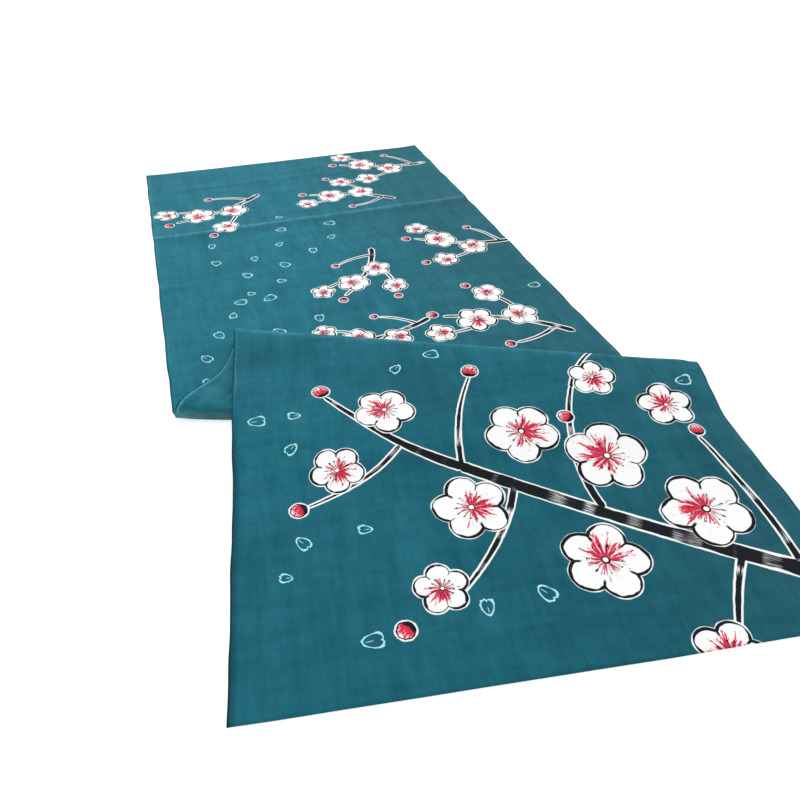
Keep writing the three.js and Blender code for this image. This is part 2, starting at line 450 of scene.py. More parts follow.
# %% Bring the far panel's plane into the frame
HEADING_TURN = math.pi / 2.0 + FAR_PANEL_HEADING
TURN = np.array([
    [math.cos(HEADING_TURN), math.sin(HEADING_TURN), 0.0],
    [-math.sin(HEADING_TURN), math.cos(HEADING_TURN), 0.0],
    [0.0, 0.0, 1.0],
])
turned_middle = middle @ TURN
plan_middle = 0.5 * (turned_middle.min(axis=(0, 1)) + turned_middle.max(axis=(0, 1)))
box_middle = 0.5 * (np.array(cloth_box[0]) + np.array(cloth_box[1])) / MM
SHIFT = np.array([box_middle[0] - plan_middle[0], box_middle[1] - plan_middle[1], cloth_box[0][2] / MM])


def to_frame(points):
    """Turn points from the far panel's plane into the frame and make them metres."""
    return (points @ TURN + SHIFT) * MM


near_left_corner = to_frame(np.array([0.0, -NEAR_CREASE["left"][1], 0.0]))
print("near crease's left corner at", np.round(near_left_corner, 4))

# %% [markdown]
# ## A sheet with a face and a back
#
# Face and back are two copies of the grid, half a thickness apart on either side of the middle.
# The quads of the back are listed the other way round, so that all faces point outwards. The
# strip round the rim joins the two, so the sheet is closed like a real thickness of cloth.
#
# The mesh also carries two maps. `Cloth` is the flat position in metres, for the weave and the
# dye. `OFBake` lays face, back and rim side by side without overlap, for baking.

# %% Build the sheet
BAKE_LENGTH = CLOTH_LENGTH + 12.0
BAKE_MARGIN = 3.0
BACK_PLACE = CLOTH_WIDTH + 14.0
RIM_PLACE = 2.0 * BACK_PLACE
RIM_STEP = 8.0
RIM_WIDTH = 4.0


def new_object(name, data):
    """An object that shows a mesh, a light or a camera, at the origin of the scene."""
    thing = bpy.data.objects.new(name, data)
    bpy.context.collection.objects.link(thing)
    return thing


def grid_quads(ids, flip):
    """Quads between the vertex numbers of a grid, wound one way or the other."""
    a, b, c, d = ids[:-1, :-1], ids[:-1, 1:], ids[1:, 1:], ids[1:, :-1]
    return np.stack([a, b, c, d] if flip else [a, d, c, b], axis=-1).reshape(-1, 4)


def rim_quads(upper, lower):
    """Quads between a line of face corners and the same line of back corners."""
    return np.stack([upper[:-1], lower[:-1], lower[1:], upper[1:]], axis=-1)


def rim_map(lengths, number):
    """Bake places of a rim strip: lengths up the page, in the strip's own column."""
    left = RIM_PLACE + number * RIM_STEP
    low, high = lengths[:-1], lengths[1:]
    x = np.tile([left, left + RIM_WIDTH, left + RIM_WIDTH, left], (len(low), 1))
    return np.stack([x, np.stack([low, low, high, high], axis=-1)], axis=-1)


rows, cols = flat_across.shape
face = middle + 0.5 * thickness[..., None] * normal
back = middle - 0.5 * thickness[..., None] * normal
points = to_frame(np.concatenate([face.reshape(-1, 3), back.reshape(-1, 3)]))
face_ids = np.arange(rows * cols).reshape(rows, cols)
back_ids = face_ids + rows * cols
rims = [
    (face_ids[:, 0], back_ids[:, 0], flat_along[:, 0]),
    (face_ids[::-1, -1], back_ids[::-1, -1], flat_along[::-1, -1]),
    (face_ids[0, ::-1], back_ids[0, ::-1], flat_across[0, ::-1]),
    (face_ids[-1], back_ids[-1], flat_across[-1]),
]
face_quads = grid_quads(face_ids, False)
back_quads = grid_quads(back_ids, True)
rim_parts = [rim_quads(upper, lower) for upper, lower, _ in rims]
quads = np.concatenate([face_quads, back_quads] + rim_parts)
print("sheet:", len(points), "vertices,", 2 * len(quads), "triangles")

mesh = bpy.data.meshes.new("tenugui_cloth")
mesh.from_pydata(points.tolist(), [], quads.tolist())
cloth = new_object("tenugui_cloth", mesh)
mesh.shade_smooth()

# %% Its two maps and its numbers at each vertex
flat_pairs = np.stack([flat_across.ravel(), flat_along.ravel()], axis=-1)
flat_both = np.concatenate([flat_pairs, flat_pairs])
bake_face = flat_pairs[face_quads]
bake_back = flat_pairs[back_quads - rows * cols] + np.array([BACK_PLACE, 0.0])
bake_rims = [rim_map(lengths, i) for i, (_, _, lengths) in enumerate(rims)]
bake_places = np.concatenate([bake_face, bake_back] + bake_rims) + BAKE_MARGIN
for name, places in (("Cloth", flat_both[quads] * MM), ("OFBake", bake_places / BAKE_LENGTH)):
    mesh.uv_layers.new(name=name).uv.foreach_set("vector", places.astype(np.float32).ravel())


def set_attribute(name, face_values, back_values=None):
    """Keep one number or one vector for each vertex of the sheet, the same on face and back."""
    both = [face_values, face_values if back_values is None else back_values]
    kind, key = ("FLOAT", "value") if face_values.ndim == 1 else ("FLOAT_VECTOR", "vector")
    attribute = mesh.attributes.new(name, kind, "POINT")
    attribute.data.foreach_set(key, np.concatenate(both).astype(np.float32).ravel())


set_attribute("dye_back", np.zeros(rows * cols), np.ones(rows * cols))

# %% [markdown]
# ## Where the print goes
#
# Plum blossom on an old bough is a traditional tenugui subject. A printer cuts it once as a
# stencil and lays it down again at other sizes, so the print here is two short drawings, a bough
# and a sprig, and a table of where each is laid.
#
# A picture file could hold the drawing, but it would blur close up. Instead each vertex keeps its
# place inside the motif that it belongs to: for a brush stroke how far it lies off the stroke's
# middle line, how far along, and how wide the stroke is there; for a blossom its place counted in
# radii. These change evenly across the cloth, so the material can draw clean edges at any size.

# %% The drawings
# Strokes: start, a point that bends the stroke, end, width at the start and at the end.
# Blossoms: centre, radius, turn in degrees. Buds: centre, radius, way that the tip points.
# Places: across, along, turn in degrees, size, and 1, or -1 where the drawing lies face down.
BOUGH = {
    "strokes": [
        ((0, 0), (104, -62), (206, -128), 12.0, 7.0),
        ((206, -128), (250, -152), (288, -204), 6.6, 2.0),
        ((128, -84), (138, -134), (112, -186), 4.4, 1.7),
        ((112, -186), (100, -212), (74, -226), 2.6, 1.0),
        ((176, -112), (190, -70), (232, -34), 4.2, 1.3),
        ((244, -150), (262, -128), (306, -112), 3.0, 1.1),
        ((62, -38), (86, -8), (100, 26), 4.4, 1.5),
        ((34, -20), (26, -74), (44, -126), 4.4, 1.5),
        ((206, -128), (204, -168), (182, -208), 3.4, 1.1),
    ],
    "blossoms": [
        ((160, -150), 25.0, 10.0), ((110, -122), 27.0, 44.0), ((208, -96), 24.0, 66.0),
        ((248, -184), 21.0, 20.0), ((66, -72), 28.0, 2.0), ((142, -46), 26.0, 30.0),
        ((52, -158), 20.0, 52.0), ((286, -138), 18.0, 15.0), ((94, -192), 17.0, 36.0),
        ((238, -42), 16.0, 58.0), ((102, 20), 20.0, 24.0),
    ],
    "buds": [
        ((290, -210), 6.0, -60.0), ((70, -230), 5.5, 200.0), ((312, -110), 5.5, 15.0),
        ((180, -214), 6.0, -110.0), ((126, -158), 5.5, -40.0), ((42, -132), 5.0, -95.0),
        ((262, -20), 5.5, 40.0),
    ],
    "places": [(352.0, 884.0, 180.0, 1.0, -1.0)],
}
SPRIG = {
    "strokes": [
        ((0, 0), (38, -12), (86, 4), 4.2, 1.5),
        ((26, -5), (44, -30), (72, -38), 2.6, 1.0),
        ((52, -5), (62, 16), (88, 28), 2.4, 0.9),
        ((12, -2), (20, 14), (34, 22), 2.2, 0.9),
    ],
    "blossoms": [
        ((36, -12), 12.5, 8.0), ((64, 2), 14.0, 40.0), ((62, -34), 11.0, 60.0), ((84, 24), 10.0, 22.0),
    ],
    "buds": [((94, 4), 3.6, 0.0), ((79, -40), 3.2, -10.0), ((38, 25), 3.2, 35.0)],
    "places": [
        (346.0, 286.0, 196.0, 1.15, 1.0),
        (322.0, 452.0, 212.0, 1.25, -1.0),
        (204.0, 262.0, 118.0, 1.05, 1.0),
        (262.0, 152.0, 205.0, 1.1, -1.0),
        (214.0, 398.0, 168.0, 1.0, 1.0),
        (118.0, 96.0, 150.0, 1.2, 1.0),
        (330.0, 60.0, 190.0, 1.2, 1.0),
    ],
}
# Fallen petals drift in loose lines: start, step to the next, sway, size and how many. A petal
# that would touch another motif is left out.
PETAL_DRIFTS = named_rows("across along step_across step_along sway size count", [
    (186.0, 196.0, -20.0, 25.0, 9.0, 5.0, 8),
    (84.0, 148.0, -13.0, 31.0, 10.0, 4.6, 4),
    (168.0, 336.0, -24.0, 15.0, 8.0, 5.2, 6),
    (318.0, 372.0, -22.0, 6.0, 7.0, 4.8, 3),
    (232.0, 96.0, -25.0, 17.0, 9.0, 4.6, 5),
    (150.0, 648.0, -25.0, 13.0, 8.0, 5.2, 5),
    (26.0, 702.0, 15.0, 24.0, 11.0, 5.2, 5),
    (322.0, 706.0, -8.0, 9.0, 4.0, 5.0, 2),
    (70.0, 866.0, 31.0, -5.0, 9.0, 5.2, 6),
    (66.0, 728.0, -10.0, 23.0, 8.0, 4.7, 5),
    (64.0, 322.0, -11.0, 26.0, 8.0, 4.8, 5),
    (126.0, 192.0, -14.0, 29.0, 9.0, 4.4, 5),
    (96.0, 372.0, 17.0, 13.0, 7.0, 4.6, 3),
])
# Along a drift the sway and the sizes follow sines, which turn on by so many radians from petal
# to petal. So does the petal itself. Part of the sway runs along, and sizes change by a share.
SWAY_TURN, SWAY_START, SWAY_ALONG = 1.9, 0.4, 0.4
SIZE_TURN, SIZE_START, SIZE_SHARE = 2.6, 1.0, 0.2
PETAL_TURN = 2.4
PETAL_GAP = 3.5
STROKE_STEPS = 48


# %% Place the drawings on the flat cloth
def place_points(points, place):
    """Turn, size and move points of a drawing: p * (size, size * side), turned, plus its place."""
    across, along, degrees, size, side = place
    turn = math.radians(degrees)
    x, y = np.moveaxis(np.array(points, dtype=float) * np.array([size, size * side]), -1, 0)
    turned = [x * math.cos(turn) - y * math.sin(turn), x * math.sin(turn) + y * math.cos(turn)]
    return np.stack(turned, axis=-1) + np.array([across, along])


def placed_strokes(strokes, place):
    """Strokes of a drawing as three placed points and the widths at both ends."""
    size = place[3]
    return [(place_points(stroke[:3], place), stroke[3] * size, stroke[4] * size) for stroke in strokes]


def placed_heads(heads, place):
    """Blossoms or buds of a drawing as a placed centre, a radius and a turn in radians."""
    _, _, degrees, size, side = place
    return [
        (place_points(centre, place), radius * size, math.radians(degrees + side * turn))
        for centre, radius, turn in heads
    ]


def drift_petals():
    """Petal i of a drift lies at start + i * step, swayed by sine, with a turn that changes."""
    petals = []
    for drift in PETAL_DRIFTS:
        i = np.arange(drift["count"])
        sway = drift["sway"] * np.sin(SWAY_TURN * i + SWAY_START * drift["across"])
        x = drift["across"] + i * drift["step_across"] + sway
        y = drift["along"] + i * drift["step_along"] + SWAY_ALONG * sway
        size = drift["size"] * (1.0 + SIZE_SHARE * np.sin(SIZE_TURN * i + SIZE_START))
        petals += list(zip(np.stack([x, y], axis=-1), size, PETAL_TURN * i))
    return petals


def stroke_line(stroke):
    """Points of a stroke's middle line, (1-t)^2 start + 2t(1-t) bend + t^2 end."""
    start, bend, end = stroke[0]
    t = np.linspace(0.0, 1.0, STROKE_STEPS)[:, None]
    return (1 - t) ** 2 * start + 2 * t * (1 - t) * bend + t**2 * end


# %% Lay the drawings down
strokes, blossoms, buds = [], [], []
for drawing in (BOUGH, SPRIG):
    for place in drawing["places"]:
        strokes += placed_strokes(drawing["strokes"], place)
        blossoms += placed_heads(drawing["blossoms"], place)
        buds += placed_heads(drawing["buds"], place)

marks = [(centre, radius) for centre, radius, _ in blossoms + buds]
for stroke in strokes:
    marks += [(point, 0.5 * stroke[1]) for point in stroke_line(stroke)]
petals = []
for petal in drift_petals():
    gaps = [np.linalg.norm(petal[0] - centre) - radius for centre, radius in marks]
    if min(gaps) > petal[1] + PETAL_GAP:
        petals.append(petal)
        marks.append(petal[:2])
print(len(strokes), "strokes,", len(blossoms), "blossoms,", len(buds), "buds,", len(petals), "petals")


# %% Give each vertex its place inside its motif
# A stroke's place is known this far past its edge and its ends, and a head's this far past its
# reach in radii. Where a layer has no motif, the place's last number is far below any size.
STROKE_MARGIN = 6.0
HEAD_MARGIN = 4.0
HEAD_REACH = {"blossom": 1.25, "bud": 1.6, "petal": 1.5}
NO_SIZE = -1000.0
# Length between the starts of two strokes, and loss of half width per mm past a stroke's ends.
STROKE_APART = 400.0
TIP_TAPER = 1.2


def stroke_places(stroke, number):
    """Distance off the stroke's middle line, length along it and half its width, per vertex.

    Past either end the half width falls away fast, which draws a pointed brush tip. Each
    stroke starts at its own length, so that no two have the same brush marks.
    """
    _, wide, narrow = stroke
    line = stroke_line(stroke)
    way = np.gradient(line, axis=0)
    way /= np.linalg.norm(way, axis=1, keepdims=True)
    run = np.r_[0.0, np.cumsum(np.linalg.norm(np.diff(line, axis=0), axis=1))]
    reach = 0.5 * wide + STROKE_MARGIN
    low, high = line.min(axis=0) - reach, line.max(axis=0) + reach
    near = np.flatnonzero(np.all((flat_pairs > low) & (flat_pairs < high), axis=1))
    offset = flat_pairs[near, None] - line[None]
    closest = np.argmin(np.sum(offset**2, axis=2), axis=1)
    offset = offset[np.arange(len(near)), closest]
    along_line = run[closest] + np.sum(offset * way[closest], axis=1)
    off_line = way[closest, 0] * offset[:, 1] - way[closest, 1] * offset[:, 0]
    half = 0.5 * (wide + (narrow - wide) * np.clip(along_line / run[-1], 0.0, 1.0))
    beyond = np.maximum(-along_line, along_line - run[-1])
    half = half - np.maximum(beyond, 0.0) * TIP_TAPER
    keep = (np.abs(off_line) < reach) & (beyond < STROKE_MARGIN)
    along_line = along_line + number * STROKE_APART
    return near[keep], np.stack([off_line, along_line, half], axis=-1)[keep]


def head_places(head, reach):
    """Place inside a blossom, bud or petal in its radii, turned with it, and its radius in mm."""
    centre, radius, turn = head
    offset = flat_pairs - centre
    near = np.flatnonzero(np.all(np.abs(offset) < reach * radius + HEAD_MARGIN, axis=1))
    x, y = offset[near].T / radius
    across_head = x * math.cos(turn) + y * math.sin(turn)
    along_head = y * math.cos(turn) - x * math.sin(turn)
    return near, np.stack([across_head, along_head, np.full(len(near), radius)], axis=-1)


# %% Sort the motifs into layers
def share_layers(found, rest):
    """Sort motifs into layers in which no two come near each other.

    A motif takes the first layer whose vertices, widened by one all round, it does not touch.
    """
    layers, taken = [], []
    for near, values in found:
        mask = np.zeros((rows, cols), dtype=bool)
        mask.ravel()[near] = True
        wide = mask.copy()
        wide[1:] |= mask[:-1]
        wide[:-1] |= mask[1:]
        wide[:, 1:] |= wide[:, :-1].copy()
        wide[:, :-1] |= wide[:, 1:].copy()
        place = next((i for i, used in enumerate(taken) if not np.any(used & wide)), None)
        if place is None:
            place = len(layers)
            layers.append(np.tile(np.array(rest, dtype=float), (rows * cols, 1)))
            taken.append(np.zeros((rows, cols), dtype=bool))
        layers[place][near] = values
        taken[place] |= wide
    return layers


found_strokes = [stroke_places(stroke, i) for i, stroke in enumerate(strokes)]
motif_layers = {"stroke": share_layers(found_strokes, (STROKE_MARGIN, 0.0, NO_SIZE))}
for motif, heads in (("blossom", blossoms), ("bud", buds), ("petal", petals)):
    found = [head_places(head, HEAD_REACH[motif]) for head in heads]
    motif_layers[motif] = share_layers(found, (1.0, 1.0, NO_SIZE))
for motif, layers in motif_layers.items():
    for number, values in enumerate(layers):
        set_attribute(f"{motif}_{number}", values)
    print(motif, "layers:", len(layers))

# %% [markdown]
# ## Node groups, written as sums
#
# Every finish below is a formula. Python lets a class say what +, - and * mean for its things, so
# two small helpers let nodes be written the way a sum is written. Each group then does one thing,
# with named inputs and outputs: the weave, the dye, a brush stroke, a plum blossom, a bud and a
# petal.

# %% Values that add their own nodes
# A head with a radius above this, in mm, is real: NO_SIZE is far below it.
SMALLEST_HEAD = 3.0


class Value:
    """An output of a node. Each +, -, * or abs of it adds one Math node to the tree."""

    def __init__(self, sums, socket):
        self.sums, self.socket = sums, socket

    def __add__(self, other):
        return self.sums.math("ADD", self, other)

    def __sub__(self, other):
        return self.sums.math("SUBTRACT", self, other)

    def __rsub__(self, other):
        return self.sums.math("SUBTRACT", other, self)

    def __mul__(self, other):
        return self.sums.math("MULTIPLY", self, other)

    def __abs__(self):
        return self.sums.math("ABSOLUTE", self)

    __radd__, __rmul__ = __add__, __mul__

    def fade(self, low, high, start=0.0, end=1.0):
        """Smooth change from start to end as the value goes from low to high."""
        limits = [self, low, high, start, end]
        return self.sums.node("ShaderNodeMapRange", limits, interpolation_type="SMOOTHSTEP")

    def inside(self, soft):
        """1 where the value, a distance, is below 0 and 0 where it is above, over a soft edge."""
        return self.fade(-soft, soft, 1.0, 0.0)

    def there(self):
        """1 where the value, a motif's size, is real, 0 where the layer has no motif here."""
        return self.sums.math("GREATER_THAN", self, SMALLEST_HEAD)

    def outputs(self):
        """All the outputs of the same node as values, by name."""
        return {socket.name: Value(self.sums, socket) for socket in self.socket.node.outputs}


# %% Sums that add nodes to a tree
class Sums:
    """Adds nodes to a tree and hands back an output of each as a value."""

    def __init__(self, tree):
        self.tree = tree

    def feed(self, socket, value):
        """Link a value to a socket, or set the socket's own number or colour."""
        if isinstance(value, Value):
            self.tree.links.new(value.socket, socket)
        else:
            socket.default_value = value

    def node(self, kind, inputs=(), output=0, **settings):
        """A new node with its settings, its inputs fed in order or by name, as one output."""
        new = self.tree.nodes.new(kind)
        for name, value in settings.items():
            setattr(new, name, value)
        for key, value in inputs.items() if isinstance(inputs, dict) else enumerate(inputs):
            self.feed(new.inputs[key], value)
        return Value(self, new.outputs[output])

    def math(self, operation, *inputs):
        return self.node("ShaderNodeMath", inputs, operation=operation)

    def most(self, first, *others):
        """The greatest of several values."""
        for other in others:
            first = self.math("MAXIMUM", first, other)
        return first

    def length(self, x, y):
        """Length of a step of x and y, the root of x * x + y * y."""
        return self.math("SQRT", x * x + y * y)

    def split(self, vector):
        return self.node("ShaderNodeSeparateXYZ", [vector]).outputs().values()

    def vector(self, *parts):
        return self.node("ShaderNodeCombineXYZ", parts)

    def noise(self, place, scale, detail=2.0, rough=0.5):
        inputs = {"Vector": place, "Scale": scale, "Detail": detail, "Roughness": rough}
        return self.node("ShaderNodeTexNoise", inputs, noise_dimensions="3D")

    def blend(self, share, first, second, kind="MIX"):
        """Colour mix of first and second by share."""
        inputs = {"Factor": share, "A": first, "B": second}
        return self.node("ShaderNodeMix", inputs, "Result", data_type="RGBA", blend_type=kind)

    def pick(self, share, first, second):
        """Vector mix of first and second by share."""
        return self.node("ShaderNodeMix", {0: share, 4: first, 5: second}, 1, data_type="VECTOR")

    def tinted(self, swing, level=1.0):
        """A level as a colour: thin dye loses its red first, so red swings most and blue least."""
        return self.node("ShaderNodeCombineColor", [(swing * more + 1.0) * level for more in DYE_SWING])

    def attribute(self, name, output="Vector"):
        return self.node("ShaderNodeAttribute", (), output, attribute_name=name)

    def give(self, **outputs):
        """Feed the outputs of a group by name, which finishes it."""
        for name, value in outputs.items():
            self.feed(self.made[name], value)
        print(self.tree.name + ":", len(self.tree.nodes), "nodes")


def new_group(name, inputs, outputs):
    """A node group with typed, named sockets, as its sums and its inputs as values by name."""
    tree = bpy.data.node_groups.new(name, "ShaderNodeTree")
    for sockets, side in ((inputs, "INPUT"), (outputs, "OUTPUT")):
        for label, kind in sockets.items():
            tree.interface.new_socket(label, in_out=side, socket_type=kind)
    sums = Sums(tree)
    sums.made = tree.nodes.new("NodeGroupOutput").inputs
    return sums, sums.node("NodeGroupInput").outputs()


def linear(red, green, blue):
    """A screen colour from 0 to 255 as the linear colour that shaders use."""
    shares = np.array([red, green, blue]) / 255.0
    low, high = shares / 12.92, ((shares + 0.055) / 1.055) ** 2.4
    return (*np.where(shares <= 0.04045, low, high).tolist(), 1.0)


FLOAT, VECTOR, COLOUR = "NodeSocketFloat", "NodeSocketVector", "NodeSocketColor"

# %% [markdown]
# ### Plain weave
#
# In plain weave each yarn goes over one and under the next, so the surface is a chequer of small
# pillows: sin(x) * sin(y) with half a wave to a yarn. Real yarn is uneven, so the yarns' places
# are shifted by a slow noise, and long thick stretches, the slubs, darken or lighten a yarn for
# a few centimetres along the warp and along the weft.

# %% Weave group
YARN_PITCH = 0.55
YARN_DRIFT = 0.35
# Slubs: how wide and how long in mm, where in the noise, how rough, and how strong.
SLUBS = named_rows("wide long seed rough strength", [
    (1.2, 9.0, 1.3, 0.6, 0.12),
    (3.4, 20.0, 4.1, 0.6, 0.24),
    (9.0, 70.0, 9.4, 0.5, 0.32),
])
# Slubs of the warp show this much more than those of the weft, which lie elsewhere in the noise.
WARP_MORE = 1.45
WEFT_SEED = 7.0
# Painted light and shade of the yarns' own ridges: a little lighter on their crowns and darker
# between them, about their middle height.
RIDGE_MIDDLE, RIDGE_SHADE = 0.4, 0.16

weave, given = new_group("Plain weave", {"Flat": VECTOR}, {"Height": FLOAT, "Shade": FLOAT})
across, along, _ = weave.split(given["Flat"])
drift = (weave.noise(given["Flat"], 900.0, 1.0) - 0.5) * YARN_DRIFT
to_yarns = math.pi / (YARN_PITCH * MM)
wave_x, wave_y = (weave.math("SINE", place * to_yarns + drift) for place in (across, along))
ridge = abs(wave_x) * abs(wave_y)


def slub_shade(wide, long, seed, rough, strength):
    """Noise drawn out along the warp, and a weaker one along the weft, added together."""
    tight, loose = 1.0 / (wide * MM), 1.0 / (long * MM)
    warp = weave.vector(across * tight, along * loose, seed)
    weft = weave.vector(across * loose, along * tight, seed + WEFT_SEED)
    both = weave.noise(warp, 1.0, 2.0, rough) * WARP_MORE + weave.noise(weft, 1.0, 2.0, rough)
    return (both - 0.5 * (1.0 + WARP_MORE)) * strength


shade = (ridge - RIDGE_MIDDLE) * RIDGE_SHADE
for slub in SLUBS:
    shade += slub_shade(**slub)
weave.give(Height=wave_x * wave_y * 0.5 + ridge * 0.5, Shade=shade)

# %% [markdown]
# ### Dyed ground
#
# The ground is poured dye, so it is a little cloudy: darker where the dye stood. It is also
# painted paler along pressed folds, a painted highlight. The back takes a little less of the dye
# and looks greyer. A selvage is darker at its very edge and keeps a dark rim, painted shade on its
# unlit rim with some darker dye of the tight weave, with a painted highlight beside it where the
# edge catches the light, which breaks up into dashes where the yarns stand proud.

# %% Dye group
DYE = linear(28, 103, 120)
DYE_BACK = linear(34, 104, 120)
# A paler colour for painted highlights.
PAINTED_HIGHLIGHT = linear(86, 158, 172)
# A grey; down the near bend's front it is a painted reflection of the white table.
DYE_GREY = linear(62, 95, 94)
# A darker colour for painted shade on a selvage's rim, with some darker dye.
DEEP_DYE_AND_SHADE = linear(5, 75, 96)
# How much a change of the dye's level shows in red, green and blue.
DYE_SWING = (2.2, 1.0, 0.92)
# Strength of the broad, the middling and the small clouds in the dye.
CLOUD_BY, PUFF_BY, PATCH_BY = 0.2, 0.34, 0.16
# Distances from a selvage, in mm, over which each of its marks grows or fades.
SELVAGE_EDGE = (0.4, 1.5)
SELVAGE_RIM = (1.0, 1.9)
SELVAGE_BAND = (1.4, 5.2)
LINE_GROWS, LINE_FADES = (1.2, 1.5), (2.1, 2.8)
EDGE_LEVEL = 0.45
# Painted highlights are patchy: they show by the first share where the small clouds are low and by
# the second where they are high. The selvage's highlight follows the yarns' grain in the same way.
HIGHLIGHT_PATCHES = (0.45, 1.0)
DASHED = (0.4, 1.25)

DYE_INPUTS = ("Back", "Depth", "Worn", "Grey", "Line", "Band", "Rim")
dye_sockets = {"Flat": VECTOR} | {name: FLOAT for name in DYE_INPUTS}
dye, given = new_group("Dyed ground", dye_sockets, {"Colour": COLOUR})
cloud = dye.noise(given["Flat"], 24.0, 2.0, 0.5)
puff = dye.noise(given["Flat"], 62.0, 3.0, 0.6)
patch = dye.noise(given["Flat"], 190.0, 3.0, 0.65)
grain = dye.noise(given["Flat"], 560.0, 2.0, 0.6)
cloudy = (cloud - 0.5) * CLOUD_BY + (puff - 0.5) * PUFF_BY + (patch - 0.5) * PATCH_BY
across, along, _ = dye.split(given["Flat"])
from_edge = dye.math("MINIMUM", across, CLOTH_WIDTH * MM - across)


def beside_selvage(stretch, start=1.0, end=0.0):
    """Smooth change from start to end over a stretch of distances from the selvage."""
    return from_edge.fade(stretch[0] * MM, stretch[1] * MM, start, end)


# Painted shade at a selvage, with some darker dye: darker at its edge and in a band beside it.
depth = given["Depth"] * beside_selvage(SELVAGE_EDGE, EDGE_LEVEL, 1.0)
depth = depth * (1.0 - beside_selvage(SELVAGE_BAND) * given["Band"])
ground = dye.blend(given["Back"], DYE, DYE_BACK)
# Dye clouds times the map of depth, which carries painted light and shade over the cloth.
ground = dye.blend(1.0, ground, dye.tinted(cloudy, depth), "MULTIPLY")
# Greyer ground; down the near bend's front this is a painted reflection of the white table.
ground = dye.blend(given["Grey"], ground, DYE_GREY)
# The selvage's dark rim: painted shade on the unlit rim, with some darker dye.
ground = dye.blend(beside_selvage(SELVAGE_RIM) * given["Rim"], ground, DEEP_DYE_AND_SHADE)
# Painted highlights, patchy: a dashed line beside each selvage, and the map of painted light.
patchy_highlight = patch.fade(0.36, 0.6, *HIGHLIGHT_PATCHES)
dashed = patchy_highlight * grain.fade(0.38, 0.62, *DASHED)
line = beside_selvage(LINE_GROWS, 0.0, 1.0) * beside_selvage(LINE_FADES) * given["Line"] * dashed
dye.give(Colour=dye.blend(dye.most(line, given["Worn"] * patchy_highlight), ground, PAINTED_HIGHLIGHT))

# %% [markdown]
# ### Brush strokes
#
# A stencil keeps the marks of the brush that drew it: edges that swell and waver, hairs that run
# dry and leave streaks, and an undyed rim left between the black and the ground, where the paste
# held the dye back. The stroke's own lengths drive all three.

# %% Stroke group
HALO = 1.15
SOFT_EDGE = 0.16
SOFT_WHITE = 1.6 * SOFT_EDGE
SWELL, WAVER, HALO_WAVER = 0.7, 0.9, 0.8
PRINT_PARTS = {"White": FLOAT, "Red": FLOAT, "Ink": FLOAT}
brush, given = new_group("Brush stroke", {"Place": VECTOR}, PRINT_PARTS)
off_line, run, half_width = brush.split(given["Place"])
waver = brush.noise(brush.vector(off_line * 0.10, run * 0.16, 0.0), 1.0, 3.0, 0.6) - 0.5
swell = brush.noise(brush.vector(run * 0.045, 3.7, 0.0), 1.0, 1.0) - 0.5
bristle = brush.noise(brush.vector(off_line * 1.5, run * 0.05, 5.0), 1.0, 3.0, 0.7)
dry = brush.noise(brush.vector(run * 0.06, 8.1, 0.0), 1.0, 1.0).fade(0.5, 0.66)
drawn_half = half_width * (1.0 + swell * SWELL) + waver * WAVER
streak = bristle.fade(0.47, 0.56) * dry * half_width.fade(0.8, 1.6)
ink = (abs(off_line) - drawn_half).inside(SOFT_EDGE) * (1.0 - streak)
rim = half_width + HALO + waver * HALO_WAVER
brush.give(White=(abs(off_line) - rim).inside(SOFT_WHITE), Ink=ink)

# %% [markdown]
# ### Plum blossom
#
# A plum blossom has five round petals, so in polar form one petal is drawn and turned five times:
# the angle is wrapped into one fifth of a turn, and a petal is a circle 0.56 out with radius
# 0.44. The ink line follows the petals' rim and dips in between them, the pistil is a small ring,
# stamens are fourteen thin rays with a dot at the tip, and red is brushed dry from the centre out.

# %% Blossom group
PETAL_OUT = 0.56
PETAL_ROUND = 0.44
FIFTH = 2.0 * math.pi / 5.0
STAMENS = 14
STAMEN_END = 0.36
STAMEN_HALF = 0.2
HEART = 0.4
PISTIL = 0.085
bloom, given = new_group("Plum blossom", {"Place": VECTOR}, PRINT_PARTS)
x, y, radius = bloom.split(given["Place"])
wobble = bloom.noise(bloom.vector(x, y, radius), 1.7, 2.0)
wobble_fine = bloom.noise(bloom.vector(x, y, radius), 6.5, 2.0) - 0.5
out = bloom.length(x, y) * (0.93 + wobble * 0.14)
angle = bloom.math("ARCTAN2", y, x)
in_fifth = bloom.math("WRAP", angle, FIFTH / 2.0, -FIFTH / 2.0)

# The rim, in mm: the law of cosines gives the distance from a petal's middle.
square = out * out + PETAL_OUT**2 - out * (2.0 * PETAL_OUT) * bloom.math("COSINE", in_fifth)
rim = bloom.math("SQRT", bloom.math("MAXIMUM", square, 0.0)) - PETAL_ROUND
rim = bloom.math("MINIMUM", rim, out - HEART) * radius
pen = (radius * 0.014 + 0.32) * (wobble.fade(0.36, 0.62, 0.55, 1.7) + wobble_fine * 0.8)
outline = (abs(rim + 0.5) - pen).inside(SOFT_EDGE)

# The dips between petals, from the outline inwards.
from_dip = bloom.math("SINE", FIFTH / 2.0 - abs(in_fifth)) * out * radius
dip = (from_dip - pen * 0.8).inside(SOFT_EDGE) * out.fade(0.5, 0.6) * rim.fade(-0.4, 0.0, 1.0, 0.0)

# Stamens: thin rays of uneven length with a dot at the tip, round the ring of the pistil.
ray_turn = bloom.math("WRAP", angle + 0.13, math.pi / STAMENS, -math.pi / STAMENS)
ray_side = abs(bloom.math("SINE", ray_turn)) * out * radius
ray_end = STAMEN_END + wobble_fine * 0.3
ray = (ray_side - STAMEN_HALF).inside(SOFT_EDGE) * out.fade(0.12, 0.17)
ray = ray * (out - ray_end).fade(0.0, 0.04, 1.0, 0.0)
tip = bloom.length((out - (ray_end + 0.03)) * radius, ray_side)
tip = (tip - (radius * 0.018 + 0.22)).inside(SOFT_EDGE)
pistil = (abs((out - PISTIL) * radius) - pen * 0.55).inside(SOFT_EDGE)

